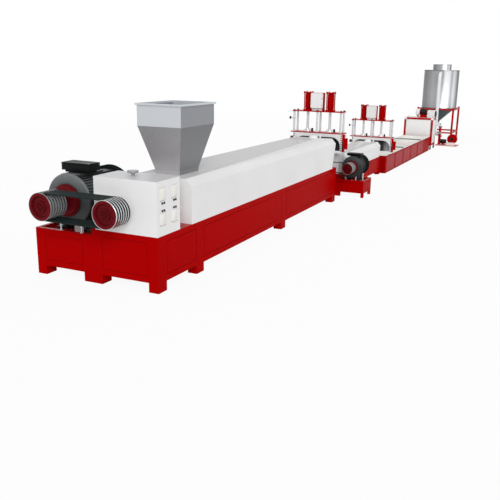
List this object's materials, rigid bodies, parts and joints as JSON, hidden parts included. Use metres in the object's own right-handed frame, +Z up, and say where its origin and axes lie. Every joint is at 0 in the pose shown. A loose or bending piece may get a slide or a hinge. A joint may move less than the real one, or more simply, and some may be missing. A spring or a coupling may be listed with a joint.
{
  "type": "plastic pelletizing line",
  "caption": "Recycling extruder line with belt drives, feed hopper, hydraulic screen changers, water trough, strand pelletizer, blower and pellet silo.",
  "frame": {"origin": "middle of the underside of the main base's drive end leg on the operator's side, on the floor", "axes": "+X along the line from the drive end to the silo, +Y away from the operator's side, +Z up"},
  "size_m": [23.13, 2.6703, 3.0266],
  "materials": {
    "red": "deep red gloss paint",
    "white": "white semi-gloss paint",
    "cream": "pale cream painted sheet",
    "grey": "grey satin sheet steel",
    "motor_grey": "dark grey paint on cast ribs",
    "black": "black satin paint",
    "steel": "machined steel",
    "bright_steel": "bright stainless sheet",
    "dark_steel": "dark grey-green steel",
    "rubber": "matt dark belt rubber"
  },
  "bodies": {
    "line": {"main_base": "red", "gearbox_1": "white", "casing_1": "white", "feed_hopper": "grey", "motor_base_1": "red", "motor_1": "motor_grey", "motor_1_terminal_box": "black", "drive_belt_1_1": "rubber", "drive_belt_1_2": "rubber", "drive_belt_1_3": "rubber", "drive_belt_1_4": "rubber", "drive_belt_1_5": "rubber", "drive_belt_1_6": "rubber", "second_base": "red", "gearbox_2": "white", "casing_2": "white", "motor_base_2": "red", "motor_2": "motor_grey", "motor_2_terminal_box": "black", "drive_belt_2": "rubber", "changer_1_body": "white", "changer_1_melt_block": "dark_steel", "changer_1_lower_plate": "red", "changer_1_upper_plate": "red", "changer_1_cylinder_left": "red", "changer_1_cylinder_right": "red", "changer_1_control_box": "white", "changer_1_side_bracket": "red", "changer_2_body": "white", "changer_2_melt_block": "dark_steel", "changer_2_lower_plate": "red", "changer_2_upper_plate": "red", "changer_2_cylinder_left": "red", "changer_2_cylinder_right": "red", "changer_2_control_box": "white", "changer_2_side_bracket": "red", "trough_base": "red", "trough_tank": "cream", "pelletizer_frame": "red", "pelletizer_cabinet": "white", "pelletizer_motor": "black", "pelletizer_belt_guard": "white", "feed_roller_housing": "white", "silo_frame": "red", "silo_wall": "bright_steel", "silo_roof": "bright_steel", "silo_cone": "dark_steel", "silo_outlet_valve": "white", "conveying_pipe": "bright_steel", "blower_base": "cream", "blower_volute": "red", "pellet_injector": "red"},
    "changer_1_left_piston": {"changer_1_rod_left": "steel"},
    "changer_1_right_piston": {"changer_1_rod_right": "steel"},
    "changer_2_left_piston": {"changer_2_rod_left": "steel"},
    "changer_2_right_piston": {"changer_2_rod_right": "steel"},
    "motor_1_shaft": {"motor_1_pulley": "steel"},
    "gearbox_1_shaft": {"gearbox_1_pulley": "steel"},
    "motor_2_shaft": {"motor_2_pulley": "steel"},
    "gearbox_2_shaft": {"gearbox_2_pulley": "steel"}
  },
  "joints": [
    {"name": "changer_1_left_piston_slide", "type": "slide", "parent": "line", "child": "changer_1_left_piston", "axis": [0, 0, 1], "range_m": [0, 0.28]},
    {"name": "changer_1_right_piston_slide", "type": "slide", "parent": "line", "child": "changer_1_right_piston", "axis": [0, 0, 1], "range_m": [0, 0.28]},
    {"name": "changer_2_left_piston_slide", "type": "slide", "parent": "line", "child": "changer_2_left_piston", "axis": [0, 0, 1], "range_m": [0, 0.28]},
    {"name": "changer_2_right_piston_slide", "type": "slide", "parent": "line", "child": "changer_2_right_piston", "axis": [0, 0, 1], "range_m": [0, 0.28]},
    {"name": "motor_1_spin", "type": "hinge", "parent": "line", "child": "motor_1_shaft", "pos_m": [-0.335, 1.465, 1.062], "axis": [1, 0, 0], "continuous": true},
    {"name": "gearbox_1_spin", "type": "hinge", "parent": "line", "child": "gearbox_1_shaft", "pos_m": [-0.335, 0.445, 1.062], "axis": [1, 0, 0], "continuous": true},
    {"name": "motor_2_spin", "type": "hinge", "parent": "line", "child": "motor_2_shaft", "pos_m": [7.39, -0.2453, 0.69], "axis": [1, 0, 0], "continuous": true},
    {"name": "gearbox_2_spin", "type": "hinge", "parent": "line", "child": "gearbox_2_shaft", "pos_m": [7.39, 0.445, 0.69], "axis": [1, 0, 0], "continuous": true}
  ],
  "couplings": [
    {"joint": "gearbox_1_spin", "follows": "motor_1_spin", "ratio": 1},
    {"joint": "gearbox_2_spin", "follows": "motor_2_spin", "ratio": 1}
  ]
}
